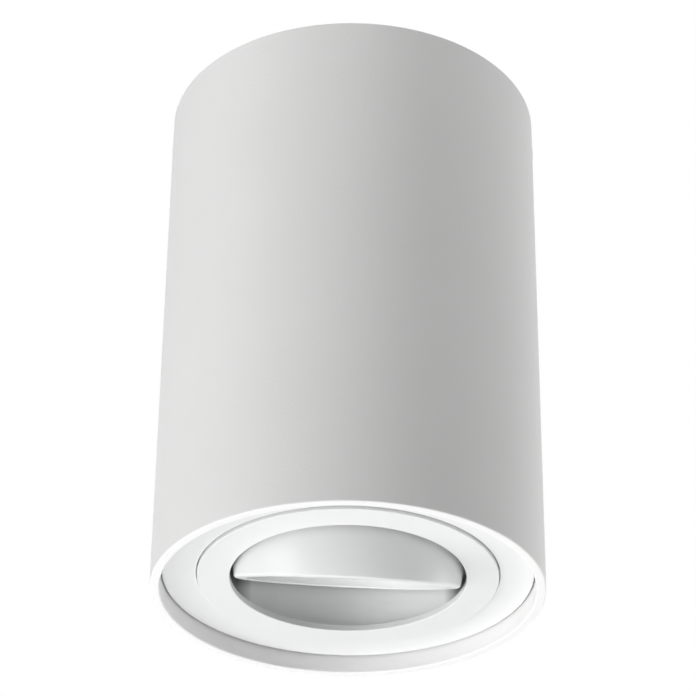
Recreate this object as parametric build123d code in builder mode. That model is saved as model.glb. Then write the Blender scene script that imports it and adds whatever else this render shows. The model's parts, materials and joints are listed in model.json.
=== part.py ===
"""Surface mounted ceiling spotlight: a round tube housing with a turning, tilting eyeball that
holds a 50 mm reflector lamp with a twist-lock base.

The origin is the centre of the ceiling face. +Z points up into the ceiling and -Y is the front.
Lengths are in millimetres and angles in degrees.
"""
import os
from math import radians, sqrt, tan

from build123d import *

os.makedirs("parts", exist_ok=True)

# ---- driving dimensions ------------------------------------------------------------------
# housing tube
housing_d = 98.0
housing_h = 140.0
rim_wall = 2.4              # wall round the front recess and round the ceiling plate
bore_step = 0.7             # inner shoulders that the ceiling plate and the front plate seat on
rim_round = 0.4

# ceiling plate and its fasteners
sheet_t = 1.5
sheet_bend = 1.2            # inside radius of the pressed corner
ear_h = 15.0                # ears of the ceiling plate, bent down for the side screws
ear_w = 16.0
ear_notch = 1.5             # relief cut each side of an ear
ceiling_slot_spacing = 60.0
ceiling_slot_l = 12.0
ceiling_slot_w = 4.5
cable_hole_r = 7.0
cable_hole_y = 24.0
cable_r = 4.0               # bore of the grommet
side_screw_r = 2.0
side_screw_z = 8.0          # below the ceiling face
earth_screw_r = 2.0
earth_x = -30.0
earth_y = -12.0

# three-pole terminal block
pole_pitch = 9.5
pole_count = 3
block_l = 17.0              # along the wires
block_h = 8.0
block_y = -4.0
turret_r = 3.4
turret_h = 5.0
tunnel_r = 2.2
clamp_screw_r = 1.5

# leads
lead_r = 1.0

# front plate
plate_recess = 4.7          # from the rim of the tube to the plate's face
plate_gap = 0.35
plate_land_t = 1.0
plate_skirt_t = 1.4
plate_skirt_h = 9.3
clip_count = 3
clip_w = 10.0
clip_t = 0.5
clip_bolt_circle_r = 40.6
boss_r = 2.8
boss_h = 3.0

# turning ring
ring_proud = 0.8            # how far its face stands below the front plate's face
ring_flange_r = 37.5
ring_flange_t = 1.8
ring_hole_r = 29.4
lip_h = 1.6                 # straight wall of the hole, below the socket's sphere
neck_r = 33.0
collar_h = 14.5
seam_gap = 0.25
neck_fit = 0.08
turn_stop_r = 36.2          # radius of the stop peg's circle
turn_stop_peg_r = 1.5

# eyeball cup
pivot_height = 6.5          # above the ring's face
ball_r = 28.9
socket_gap = 1.5            # between the ball and its socket
rim_drop = 6.55             # from the pivot to the cup's mouth plane
cup_wall = 3.4
cup_back = 18.0             # from the pivot to the cup's open back
rim_fillet = 0.8
pivot_shoulder_r = 1.95
pivot_thread_r = 1.5
pivot_fit = 0.05

# lamp and lampholder
lamp_r = 25.0
lamp_l = 50.0
lamp_base_r = 12.5
lamp_pin_pitch = 10.0
retaining_ring_bore_r = 22.6
retaining_ring_t = 2.9
retaining_ring_web = 1.0    # flange that holds the lamp's edge, at the back of the ring
retaining_ring_wall = 0.9
holder_l = 27.0
holder_w = 17.0
holder_h = 14.5
strap_w = 8.0
strap_t = 1.0
strap_screw_r = 1.45

# pose at rest
turn_angle = 5.1
tilt_angle = 24.0

# ---- sizes that follow --------------------------------------------------------------------
housing_r = housing_d / 2
seat_r = housing_r - rim_wall
bore_r = seat_r - bore_step
front_seat_h = plate_recess + plate_skirt_h
plate_z = -housing_h + plate_recess
ring_z = plate_z - ring_proud
seam_angle = 45             # revolved profiles start here, clear of the holes on the X and Y axes
play = 0.05                 # between parts that slide or seat on each other
thread_play = 0.03          # between a screw and its tapped hole
screw_play = 0.15           # between a screw and a hole that it passes through
sheet_play = 0.2            # between the edges of sheet parts and the tube
end_gap = 0.2               # from a screw's end to the far side of what it is screwed into


def upright(frame, angle=0):
    """Plane through a frame's axis, with x outwards at an angle and y along the axis."""
    turned = frame.moved(Rotation(0, 0, angle))
    return Plane(origin=turned.origin, x_dir=turned.x_dir, z_dir=-turned.y_dir)


def axis_of(frame):
    return Axis(frame.origin, frame.z_dir)


def radial(frame, reach, height, angle=0):
    """Plane that faces outwards, at a distance and height from a frame's axis."""
    turned = frame.moved(Rotation(0, 0, angle))
    place = turned.from_local_coords(Vector(reach, 0, height))
    return Plane(origin=place, x_dir=turned.y_dir, z_dir=turned.x_dir)


def on_sphere(radius, height):
    """Distance from the axis to a sphere at a height above its centre."""
    return sqrt(radius**2 - height**2)


base_frame = Plane.XY
ring_frame = Plane.XY.offset(ring_z).moved(Rotation(0, 0, turn_angle))
cup_frame = ring_frame.offset(pivot_height).moved(Rotation(tilt_angle, 0, 0))


def pan_screw(head_r, head_h, shank_r, length, slot_w=0.8):
    """Screw with a rounded, cross-slotted head. Its head stands on z=0 and its shank goes down."""
    with BuildPart() as screw:
        with BuildSketch(Plane.XZ):
            with BuildLine():
                Polyline((0, -length), (shank_r, -length), (shank_r, 0), (head_r, 0), (head_r, head_h * 0.4))
                ThreePointArc((head_r, head_h * 0.4), (head_r * 0.88, head_h * 0.8), (head_r * 0.6, head_h))
                Polyline((head_r * 0.6, head_h), (0, head_h), (0, -length))
            make_face()
        revolve(axis=Axis.Z)
        with BuildSketch(Plane.XY.offset(head_h)):
            Rectangle(head_r * 1.3, slot_w)
            Rectangle(slot_w, head_r * 1.3)
        extrude(amount=-head_h * 0.55, mode=Mode.SUBTRACT)
    return screw.part


def countersunk_screw(head_r, shank_r, length, slot_w=0.9):
    """Screw with a flat, cross-slotted head of 90 degrees. Its face lies on z=0, its shank goes down."""
    head_h = head_r - shank_r
    with BuildPart() as screw:
        with BuildSketch(Plane.XZ):
            with BuildLine():
                Polyline(
                    (0, -length), (shank_r, -length), (shank_r, -head_h), (head_r, 0), (0, 0), close=True
                )
            make_face()
        revolve(axis=Axis.Z)
        with BuildSketch(Plane.XY):
            Rectangle(head_r * 1.2, slot_w)
            Rectangle(slot_w, head_r * 1.2)
        extrude(amount=-head_h * 0.5, mode=Mode.SUBTRACT)
    return screw.part


def lead(points, radii):
    """Insulated wire along straight runs joined by tangent arcs."""
    with BuildPart() as wire:
        with BuildLine():
            path = FilletPolyline(*points, radius=radii)
        with BuildSketch(Plane(origin=path @ 0, z_dir=path % 0)):
            Circle(lead_r)
        sweep()
    return wire.part


def arc_radii(points):
    """The largest arc that fits each corner of a route, from the shorter of its two runs."""
    radii = []
    for before, corner, after in zip(points, points[1:], points[2:]):
        run_in = Vector(*corner) - Vector(*before)
        run_out = Vector(*after) - Vector(*corner)
        half_turn = run_in.get_angle(run_out) / 2
        shorter = min(run_in.length, run_out.length)
        radii.append(0.45 * shorter / tan(radians(half_turn)))
    return radii


# ---- housing ------------------------------------------------------------------------------
side_screw_places = [radial(base_frame, housing_r, -side_screw_z, angle) for angle in (0, 180)]
side_head_r = side_screw_r + 1.7
ceiling_seat_h = sheet_t + play

with BuildPart() as housing_tube:
    with BuildSketch(upright(base_frame, seam_angle)):
        with BuildLine():
            Polyline(
                (seat_r, -housing_h),
                (housing_r, -housing_h),
                (housing_r, 0),
                (seat_r, 0),
                (seat_r, -ceiling_seat_h),
                (bore_r, -ceiling_seat_h),
                (bore_r, -housing_h + front_seat_h),
                (seat_r, -housing_h + front_seat_h),
                close=True,
            )
        make_face()
    revolve(axis=Axis.Z)
    rims = housing_tube.edges().filter_by(GeomType.CIRCLE)
    fillet(rims.group_by(Axis.Z)[0], radius=rim_round)
    with Locations(*side_screw_places):
        CounterSinkHole(
            side_screw_r + screw_play,
            side_head_r + screw_play,
            depth=housing_r - bore_r + 1,
            counter_sink_angle=90,
        )
housing_tube.part.label = "housing_tube"
export_step(housing_tube.part, "parts/housing_tube.step")

# Sheet plate with two bent ears that the side screws run in. Its dimple keeps the grommet below
# the ceiling face.
plate_r = seat_r - sheet_play
dimple_r = cable_hole_r + 4.0
dimple_h = 1.6
block_fixing_r = 1.5
ear_reach = sqrt((bore_r - screw_play) ** 2 - (ear_w / 2) ** 2)
ear_bend_r = sheet_bend + sheet_t

with BuildPart() as ceiling_plate:
    with BuildSketch(Plane.XY):
        Circle(plate_r)
        with GridLocations(2 * ear_reach, 0, 2, 1):
            Rectangle(2 * ear_bend_r, ear_w + 2 * ear_notch, mode=Mode.SUBTRACT)
    extrude(amount=-sheet_t)
    with BuildSketch(Plane.XZ):
        with BuildLine():
            FilletPolyline(
                (-ear_reach, -ear_h),
                (-ear_reach, 0),
                (ear_reach, 0),
                (ear_reach, -ear_h),
                radius=ear_bend_r,
            )
            offset(amount=sheet_t, side=Side.RIGHT)
        make_face()
    extrude(amount=ear_w / 2, both=True)
    with BuildSketch(Plane.XY.offset(-sheet_t)):
        with Locations((0, cable_hole_y)):
            Circle(dimple_r + sheet_t)
    extrude(amount=-dimple_h)
    with BuildSketch(Plane.XY):
        with Locations((0, cable_hole_y)):
            Circle(dimple_r)
    extrude(amount=-dimple_h, mode=Mode.SUBTRACT)
    with BuildSketch(Plane.XY):
        with Locations((0, cable_hole_y)):
            Circle(cable_hole_r)
        with GridLocations(ceiling_slot_spacing, 0, 2, 1):
            SlotOverall(ceiling_slot_l, ceiling_slot_w)
        with Locations((0, block_y)), GridLocations(pole_pitch, 0, 2, 1):
            Circle(block_fixing_r + thread_play)
        with Locations((earth_x, earth_y)):
            Circle(earth_screw_r + thread_play)
    extrude(amount=-sheet_t - dimple_h, mode=Mode.SUBTRACT)
    with Locations(*side_screw_places):
        Hole(side_screw_r + thread_play, depth=housing_r - ear_reach + sheet_t + 1)
ceiling_plate.part.label = "ceiling_plate"
export_step(ceiling_plate.part, "parts/ceiling_plate.step")

side_screw = countersunk_screw(side_head_r, side_screw_r, 7.0)
with BuildPart() as side_screws:
    with Locations(*side_screw_places):
        add(side_screw)
side_screws.part.label = "side_screws"
export_step(side_screws.part, "parts/side_screws.step")

# Grommet: a groove round its waist holds it in the plate's dimple.
grommet_flange_t = dimple_h - 0.2
waist_r = cable_hole_r - play
dimple_top = -dimple_h
dimple_under = -sheet_t - dimple_h

grommet_frame = Plane((0, cable_hole_y, 0))

with BuildPart() as cable_grommet:
    with BuildSketch(upright(grommet_frame)):
        with BuildLine():
            Polyline(
                (cable_r, dimple_top + grommet_flange_t),
                (cable_hole_r + 2.4, dimple_top + grommet_flange_t),
                (cable_hole_r + 2.4, dimple_top),
                (waist_r, dimple_top),
                (waist_r, dimple_under),
                (cable_hole_r + 2.0, dimple_under),
                (cable_hole_r + 1.0, dimple_under - 2.2),
                (cable_r, dimple_under - 2.2),
                close=True,
            )
        make_face()
    revolve(axis=axis_of(grommet_frame))
cable_grommet.part.label = "cable_grommet"
export_step(cable_grommet.part, "parts/cable_grommet.step")


# Terminal block: the wires lie along Y, and the clamp screws point down, where a hand can reach.
block_top = -sheet_t
block_under = block_top - block_h
tunnel_z = block_top - block_h / 2
turret_end = block_under - turret_h
block_w = pole_count * pole_pitch + 1.0
clamp_spacing = block_l - 2 * turret_r
insert_r = tunnel_r - play
insert_bore_r = 1.5
wire_end_y = block_y + 1.0
block_front = Plane((0, block_y - block_l / 2, tunnel_z), x_dir=(1, 0, 0), z_dir=(0, -1, 0))


def clamp_holes(z):
    """Places of the six clamp screws at a height."""
    under = Plane((0, block_y, z), x_dir=(1, 0, 0), z_dir=(0, 0, -1))
    places = GridLocations(pole_pitch, clamp_spacing, pole_count, 2)
    return [under.location * place for place in places]


with BuildPart() as terminal_block:
    with BuildSketch(Plane((0, block_y, block_under))):
        RectangleRounded(block_w, block_l, 1.0)
    extrude(amount=block_h)
    with Locations(*clamp_holes(block_under)):
        Cylinder(turret_r, turret_h, align=(Align.CENTER, Align.CENTER, Align.MIN))
    with BuildSketch(block_front):
        with GridLocations(pole_pitch, 0, pole_count, 1):
            Circle(tunnel_r)
    extrude(amount=-block_l, mode=Mode.SUBTRACT)
    with Locations(*clamp_holes(turret_end)):
        Hole(clamp_screw_r + 0.25, depth=turret_h + block_h / 2)
    with Locations((0, block_y, block_under)), GridLocations(pole_pitch, 0, 2, 1):
        Hole(block_fixing_r + play)
terminal_block.part.label = "terminal_block"
export_step(terminal_block.part, "parts/terminal_block.step")

with BuildPart() as terminal_inserts:
    with BuildSketch(block_front.offset(-0.5)):
        with GridLocations(pole_pitch, 0, pole_count, 1):
            Circle(insert_r)
            Circle(insert_bore_r, mode=Mode.SUBTRACT)
    extrude(amount=1.0 - block_l)
    with Locations(*clamp_holes(tunnel_z - insert_r)):
        Hole(clamp_screw_r + thread_play, depth=insert_r)
terminal_inserts.part.label = "terminal_inserts"
export_step(terminal_inserts.part, "parts/terminal_inserts.step")

# The front row of screws clamps the leads to the lamp; the back row waits for the supply.
with BuildPart() as terminal_clamp_screws:
    with Locations(*clamp_holes(tunnel_z - lead_r - play)):
        Cylinder(clamp_screw_r, turret_h + 1.0, align=(Align.CENTER, Align.CENTER, Align.MIN))
    with BuildSketch(Plane((0, block_y, tunnel_z - lead_r - play - turret_h - 1.0))):
        with GridLocations(pole_pitch, clamp_spacing, pole_count, 2):
            Rectangle(clamp_screw_r * 2.2, 0.5)
    extrude(amount=0.8, mode=Mode.SUBTRACT)
terminal_clamp_screws.part.label = "terminal_clamp_screws"
export_step(terminal_clamp_screws.part, "parts/terminal_clamp_screws.step")

fixing_screw = pan_screw(2.8, 1.8, block_fixing_r, block_h + sheet_t - end_gap)
fixing_face = Plane((0, block_y, block_under), x_dir=(1, 0, 0), z_dir=(0, 0, -1))
with BuildPart() as terminal_fixing_screws:
    with Locations(*[fixing_face.location * place for place in GridLocations(pole_pitch, 0, 2, 1)]):
        add(fixing_screw)
terminal_fixing_screws.part.label = "terminal_fixing_screws"
export_step(terminal_fixing_screws.part, "parts/terminal_fixing_screws.step")

# Earth: ring tag under a screw in the ceiling plate, and its lead from the middle pole.
tag_t = 0.8
tag_ring_r = earth_screw_r + 2.4
tag_barrel_r = lead_r + 0.7
tag_barrel_l = 6.0
tag_barrel_y = earth_y - tag_ring_r - 1.0
tag_barrel_z = block_top - tag_barrel_r

with BuildPart() as earth_tag:
    with BuildSketch(Plane((earth_x, earth_y, block_top))):
        Circle(tag_ring_r)
        with Locations((0, -tag_ring_r / 2 - 0.8)):
            Rectangle(tag_barrel_r * 1.6, tag_ring_r + 1.6)
        Circle(earth_screw_r + play, mode=Mode.SUBTRACT)
    extrude(amount=-tag_t)
    with BuildSketch(Plane((earth_x, tag_barrel_y, tag_barrel_z), x_dir=(1, 0, 0), z_dir=(0, -1, 0))):
        Circle(tag_barrel_r)
    extrude(amount=tag_barrel_l)
    with BuildSketch(Plane((earth_x, tag_barrel_y - 1.0, tag_barrel_z), x_dir=(1, 0, 0), z_dir=(0, -1, 0))):
        Circle(lead_r + play)
    extrude(amount=tag_barrel_l, mode=Mode.SUBTRACT)
earth_tag.part.label = "earth_tag"
export_step(earth_tag.part, "parts/earth_tag.step")

earth_face = Plane((earth_x, earth_y, block_top - tag_t), x_dir=(1, 0, 0), z_dir=(0, 0, -1))
earth_pan = pan_screw(3.8, 2.4, earth_screw_r, tag_t + sheet_t - end_gap)
with BuildPart() as earth_screw:
    with Locations(earth_face):
        add(earth_pan)
earth_screw.part.label = "earth_screw"
export_step(earth_screw.part, "parts/earth_screw.step")

earth_route = [
    (0, wire_end_y - block_l / 2, tunnel_z),
    (0, block_y - block_l / 2 - 12.0, tunnel_z),
    (earth_x / 2, earth_y - 22.0, (tunnel_z + tag_barrel_z) / 2),
    (earth_x, earth_y - 18.0, tag_barrel_z),
    (earth_x, tag_barrel_y - 1.5, tag_barrel_z),
]
earth_wire = lead(earth_route, arc_radii(earth_route))
with BuildPart() as earth_lead:
    add(earth_wire)
earth_lead.part.label = "earth_lead"
export_step(earth_lead.part, "parts/earth_lead.step")

# ---- front plate --------------------------------------------------------------------------
plate_outer_r = seat_r - plate_gap
rebate_r = ring_flange_r + seam_gap
rebate_h = ring_flange_t - ring_proud + play
plate_t = rebate_h + plate_land_t
plate_frame = Plane.XY.offset(plate_z)
peg_h = pivot_height + 3.0

with BuildPart() as front_plate:
    with BuildSketch(upright(plate_frame, seam_angle)):
        with BuildLine():
            Polyline(
                (neck_r + neck_fit, rebate_h),
                (rebate_r, rebate_h),
                (rebate_r, 0),
                (plate_outer_r, 0),
                (plate_outer_r, plate_skirt_h),
                (plate_outer_r - plate_skirt_t, plate_skirt_h),
                (plate_outer_r - plate_skirt_t, plate_t),
                (neck_r + neck_fit, plate_t),
                close=True,
            )
        make_face()
    revolve(axis=Axis.Z)
    face_edges = front_plate.edges().filter_by(GeomType.CIRCLE).group_by(Axis.Z)[0]
    fillet(face_edges.sort_by(SortBy.RADIUS)[-1], radius=rim_round)
    fillet(face_edges.sort_by(SortBy.RADIUS)[0], radius=rim_round / 2)
    with BuildSketch(plate_frame.offset(plate_t)):
        with PolarLocations(clip_bolt_circle_r, clip_count, start_angle=90):
            Circle(boss_r)
    extrude(amount=boss_h)
    with Locations(plate_frame.offset(plate_t + boss_h)):
        with PolarLocations(clip_bolt_circle_r, clip_count, start_angle=90):
            Hole(1.25 + thread_play, depth=boss_h)
    with BuildSketch(plate_frame.offset(plate_t)):
        with PolarLocations(turn_stop_r, 1, start_angle=-90):
            Circle(turn_stop_peg_r)
    extrude(amount=peg_h - plate_t)
front_plate.part.label = "front_plate"
export_step(front_plate.part, "parts/front_plate.step")

# Leaf springs: each bears on the tube's bore above the front plate's skirt.
clip_foot_z = plate_z + plate_t + boss_h
clip_reach = sqrt(bore_r**2 - (clip_w / 2) ** 2) - 0.03
skirt_inner_r = plate_outer_r - plate_skirt_t
clip_rise_r = sqrt(skirt_inner_r**2 - (clip_w / 2) ** 2) - 0.1


def leaf_clip(angle):
    """Bent strip with a foot on its boss and a bow that presses outwards on the tube."""
    frame = Plane.XY.offset(clip_foot_z).moved(Rotation(0, 0, angle))
    with BuildPart() as clip:
        with BuildSketch(upright(frame)):
            with BuildLine():
                FilletPolyline(
                    (clip_bolt_circle_r - 3.4, clip_t),
                    (clip_rise_r - clip_t, clip_t),
                    (clip_rise_r - clip_t, plate_skirt_h - boss_h),
                    (clip_reach - clip_t, plate_skirt_h - boss_h + 5.0),
                    (clip_reach - clip_t - 2.4, plate_skirt_h - boss_h + 11.0),
                    radius=0.9,
                )
                offset(amount=clip_t, side=Side.RIGHT)
            make_face()
        extrude(amount=clip_w / 2, both=True)
        with BuildSketch(frame):
            with Locations((clip_bolt_circle_r, 0)):
                Circle(1.6)
        extrude(amount=clip_t * 2, mode=Mode.SUBTRACT)
    return clip.part


clip_angles = [90 + step * 360 / clip_count for step in range(clip_count)]
leaf_clips = [leaf_clip(angle) for angle in clip_angles]
with BuildPart() as plate_clips:
    add(leaf_clips)
plate_clips.part.label = "plate_clips"
export_step(plate_clips.part, "parts/plate_clips.step")

clip_pan = pan_screw(2.6, 1.7, 1.25, clip_t + boss_h - 0.4)
with BuildPart() as clip_screws:
    with Locations(Plane.XY.offset(clip_foot_z + clip_t)):
        with PolarLocations(clip_bolt_circle_r, clip_count, start_angle=90):
            add(clip_pan)
clip_screws.part.label = "clip_screws"
export_step(clip_screws.part, "parts/clip_screws.step")

# ---- turning ring -------------------------------------------------------------------------
socket_r = ball_r + socket_gap
groove_z = ring_flange_t + play + plate_land_t + 0.3
groove_w = 0.7
groove_r = neck_r - 1.1
retainer_r = turn_stop_r - turn_stop_peg_r - 0.35
pivot_flat_r = neck_r - 0.8
stop_height = pivot_height + 0.6
stop_screw_r = 1.25
stop_hole_l = neck_r - socket_r - 0.5

with BuildPart() as turning_ring:
    with BuildSketch(upright(ring_frame, seam_angle)):
        with BuildLine():
            Polyline(
                (on_sphere(socket_r, lip_h - pivot_height), lip_h),
                (ring_hole_r, lip_h),
                (ring_hole_r, 0),
                (ring_flange_r, 0),
                (ring_flange_r, ring_flange_t),
                (neck_r, ring_flange_t),
                (neck_r, groove_z),
                (groove_r, groove_z),
                (groove_r, groove_z + groove_w),
                (neck_r, groove_z + groove_w),
                (neck_r, collar_h),
                (on_sphere(socket_r, collar_h - pivot_height), collar_h),
            )
            ThreePointArc(
                (on_sphere(socket_r, collar_h - pivot_height), collar_h),
                (socket_r, pivot_height),
                (on_sphere(socket_r, lip_h - pivot_height), lip_h),
            )
        make_face()
    revolve(axis=axis_of(ring_frame))
    fillet(turning_ring.edges().filter_by(GeomType.CIRCLE).group_by(Axis.Z)[0], radius=0.25)
    top_edges = turning_ring.edges().filter_by(GeomType.CIRCLE).group_by(Axis.Z)[-1]
    chamfer(top_edges.sort_by(SortBy.RADIUS)[-1], length=1.5)
    for side in (0, 180):
        with Locations(radial(ring_frame, neck_r, pivot_height, side)):
            CounterBoreHole(pivot_shoulder_r + pivot_fit, 3.1, neck_r - pivot_flat_r, depth=neck_r - 24)
    with Locations(radial(ring_frame, neck_r, stop_height, 90)):
        Hole(stop_screw_r + thread_play, depth=stop_hole_l)
turning_ring.part.label = "turning_ring"
export_step(turning_ring.part, "parts/turning_ring.step")

# Retainer and friction washer above the front plate's land.
with BuildPart() as snap_ring:
    with BuildSketch(ring_frame.offset(groove_z + play / 2)):
        Circle(retainer_r)
        Circle(groove_r + play, mode=Mode.SUBTRACT)
        with Locations((-neck_r, 0)):
            Rectangle(5.0, 6.0, mode=Mode.SUBTRACT)
        with Locations((-neck_r + 0.2, 4.6), (-neck_r + 0.2, -4.6)):
            Circle(0.5, mode=Mode.SUBTRACT)
    extrude(amount=groove_w - play)
snap_ring.part.label = "snap_ring"
export_step(snap_ring.part, "parts/snap_ring.step")

with BuildPart() as friction_washer:
    with BuildSketch(ring_frame.offset(groove_z)):
        Circle(retainer_r)
        Circle(neck_r + play, mode=Mode.SUBTRACT)
    extrude(amount=play - 0.3)
friction_washer.part.label = "friction_washer"
export_step(friction_washer.part, "parts/friction_washer.step")

stop_pan = pan_screw(2.4, turn_stop_r + 0.6 - neck_r, stop_screw_r, stop_hole_l - end_gap)
with BuildPart() as stop_screw:
    with Locations(radial(ring_frame, neck_r, stop_height, 90)):
        add(stop_pan)
stop_screw.part.label = "stop_screw"
export_step(stop_screw.part, "parts/stop_screw.step")

# ---- eyeball ------------------------------------------------------------------------------
cup_inner_r = ball_r - cup_wall
rim_r = on_sphere(ball_r, rim_drop)
mouth_r = rim_r - 2.2
lamp_seat_r = lamp_r + 0.3
ledge_r = lamp_r - 1.0
ledge_t = 1.5
lamp_front = -rim_drop + retaining_ring_t
washer_flat_r = ball_r - 0.3
lug_t = 2.8
lug_h = 7.0
lug_root = 1.0              # how deep the lugs reach into the cup's wall
lug_outer_r = on_sphere(cup_inner_r, cup_back - lug_root) + sheet_play + lug_t
lug_screw_height = cup_back + lug_h / 2 + 0.5


with BuildPart() as eyeball_cup:
    with BuildSketch(upright(cup_frame, seam_angle)) as cup_profile:
        with BuildLine():
            ThreePointArc((rim_r, -rim_drop), (ball_r, 0), (on_sphere(ball_r, cup_back), cup_back))
            Line((on_sphere(ball_r, cup_back), cup_back), (on_sphere(cup_inner_r, cup_back), cup_back))
            ThreePointArc(
                (on_sphere(cup_inner_r, cup_back), cup_back),
                (on_sphere(cup_inner_r, cup_back / 2), cup_back / 2),
                (on_sphere(cup_inner_r, ledge_t), ledge_t),
            )
            Polyline(
                (on_sphere(cup_inner_r, ledge_t), ledge_t),
                (ledge_r, ledge_t),
                (ledge_r, 0),
                (lamp_seat_r, 0),
                (lamp_seat_r, lamp_front),
                (mouth_r, lamp_front),
                (mouth_r, -rim_drop),
                (rim_r, -rim_drop),
            )
        make_face()
        fillet(cup_profile.vertices().sort_by_distance((rim_r, -rim_drop))[0], radius=rim_fillet)
    revolve(axis=axis_of(cup_frame))
    with BuildSketch(cup_frame.offset(cup_back - lug_root)):
        with PolarLocations(lug_outer_r - lug_t / 2, 2):
            Rectangle(lug_t, strap_w)
    extrude(amount=lug_root + lug_h)
    for side in (0, 180):
        with BuildSketch(radial(cup_frame, washer_flat_r, 0, side)):
            Circle(on_sphere(ball_r, washer_flat_r) + 0.5)
        extrude(amount=1.0, mode=Mode.SUBTRACT)
        with Locations(radial(cup_frame, washer_flat_r, 0, side)):
            Hole(pivot_thread_r + thread_play, depth=washer_flat_r - lamp_seat_r - 0.5)
        with Locations(radial(cup_frame, lug_outer_r, lug_screw_height, side)):
            Hole(strap_screw_r + thread_play, depth=lug_t)
eyeball_cup.part.label = "eyeball_cup"
export_step(eyeball_cup.part, "parts/eyeball_cup.step")

# Pivots: a shoulder screw runs in the ring's collar and is screwed into the cup.
pivot_shoulder_l = pivot_flat_r + play - washer_flat_r
with BuildPart() as pivot_screw:
    with BuildSketch(Plane.XZ):
        with BuildLine():
            Polyline(
                (0, 1.8),
                (2.4, 1.8),
                (2.4, 0),
                (pivot_shoulder_r, 0),
                (pivot_shoulder_r, -pivot_shoulder_l),
                (pivot_thread_r, -pivot_shoulder_l),
                (pivot_thread_r, -pivot_shoulder_l - 2.2),
                (0, -pivot_shoulder_l - 2.2),
                close=True,
            )
        make_face()
    revolve(axis=Axis.Z)
    with BuildSketch(Plane.XY.offset(1.8)):
        RegularPolygon(1.25, 6)
    extrude(amount=-1.1, mode=Mode.SUBTRACT)

with BuildPart() as pivot_screws:
    for side in (0, 180):
        with Locations(radial(cup_frame, pivot_flat_r + play, 0, side)):
            add(pivot_screw.part)
pivot_screws.part.label = "pivot_screws"
export_step(pivot_screws.part, "parts/pivot_screws.step")

pivot_washer_r = 3.8
washer_reach = on_sphere(socket_r, pivot_washer_r) - play
with BuildPart() as pivot_washers:
    for side in (0, 180):
        with BuildSketch(radial(cup_frame, washer_flat_r, 0, side)):
            Circle(pivot_washer_r)
            Circle(pivot_shoulder_r + play, mode=Mode.SUBTRACT)
        extrude(amount=washer_reach - washer_flat_r)
pivot_washers.part.label = "pivot_washers"
export_step(pivot_washers.part, "parts/pivot_washers.step")

# Retaining ring: a wall round the mouth and a flange set back from the rim.
ring_edge_r = mouth_r - play
with BuildPart() as lamp_retaining_ring:
    with BuildSketch(upright(cup_frame, seam_angle)) as ring_profile:
        with BuildLine():
            Polyline(
                (ring_edge_r, -rim_drop),
                (ring_edge_r, lamp_front),
                (retaining_ring_bore_r, lamp_front),
                (retaining_ring_bore_r, lamp_front - retaining_ring_web),
                (ring_edge_r - retaining_ring_wall, lamp_front - retaining_ring_web),
                (ring_edge_r - retaining_ring_wall, -rim_drop),
                close=True,
            )
        make_face()
        face_corners = ring_profile.vertices().group_by(Axis.Y)
        fillet(face_corners[0].sort_by(Axis.X)[0], radius=0.3)
    revolve(axis=axis_of(cup_frame))
lamp_retaining_ring.part.label = "lamp_retaining_ring"
export_step(lamp_retaining_ring.part, "parts/lamp_retaining_ring.step")

# ---- lamp ---------------------------------------------------------------------------------
lens_t = 1.6
lens_r = lamp_r - 0.8
neck_s = lamp_front + 0.63 * lamp_l
belly_h = 0.56 * lamp_r      # height where the shell bulges most, inside the cup
lamp_end = lamp_front + lamp_l
lens_back = lamp_front + lens_t
well_h = neck_s - 3.0       # floor of the reflector
well_r = 9.5
reflector_r = lens_r - 1.6
reflector_belly_r = 0.75 * reflector_r
capsule_r = 4.6
capsule_l = 16.0
pin_l = 7.0
pin_head_l = 2.6
lamp_axis = axis_of(cup_frame)

with BuildPart() as lamp_body:
    with BuildSketch(upright(cup_frame, seam_angle)):
        with BuildLine():
            Polyline((lamp_base_r, neck_s), (0, neck_s), (0, well_h), (well_r, well_h))
            ThreePointArc((well_r, well_h), (reflector_belly_r, 0.46 * well_h), (reflector_r, lens_back))
            Polyline(
                (reflector_r, lens_back),
                (lens_r + play, lens_back),
                (lens_r + play, lamp_front),
                (lamp_r, lamp_front),
                (lamp_r, -play),
                (ledge_r - 0.4, -play),
                (ledge_r - 0.6, ledge_t),
            )
            ThreePointArc((ledge_r - 0.6, ledge_t), (0.765 * lamp_r, belly_h), (lamp_base_r, neck_s))
        make_face()
    revolve(axis=lamp_axis)
lamp_body.part.label = "lamp_body"
export_step(lamp_body.part, "parts/lamp_body.step")

with BuildPart() as lamp_lens:
    with BuildSketch(cup_frame.offset(lamp_front)):
        Circle(lens_r)
    extrude(amount=lens_t)
    chamfer(lamp_lens.edges().filter_by(GeomType.CIRCLE).sort_by(lamp_axis)[0], length=0.4)
lamp_lens.part.label = "lamp_lens"
export_step(lamp_lens.part, "parts/lamp_lens.step")

with BuildPart() as lamp_capsule:
    with BuildSketch(upright(cup_frame, seam_angle)) as capsule_profile:
        with Locations((0, well_h - play)):
            Rectangle(capsule_r, capsule_l, align=(Align.MIN, Align.MAX))
        fillet(capsule_profile.vertices().sort_by_distance((capsule_r, well_h - capsule_l))[0], radius=3.4)
    revolve(axis=lamp_axis)
lamp_capsule.part.label = "lamp_capsule"
export_step(lamp_capsule.part, "parts/lamp_capsule.step")

with BuildPart() as lamp_base:
    with BuildSketch(upright(cup_frame, seam_angle)):
        with BuildLine():
            Polyline(
                (0, neck_s),
                (lamp_base_r, neck_s),
                (lamp_base_r, neck_s + 4.0),
                (lamp_base_r - 1.6, neck_s + 5.5),
                (lamp_base_r - 1.6, lamp_end - 1.2),
                (lamp_base_r - 2.8, lamp_end),
                (0, lamp_end),
                close=True,
            )
        make_face()
    revolve(axis=lamp_axis)
lamp_base.part.label = "lamp_base"
export_step(lamp_base.part, "parts/lamp_base.step")

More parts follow.
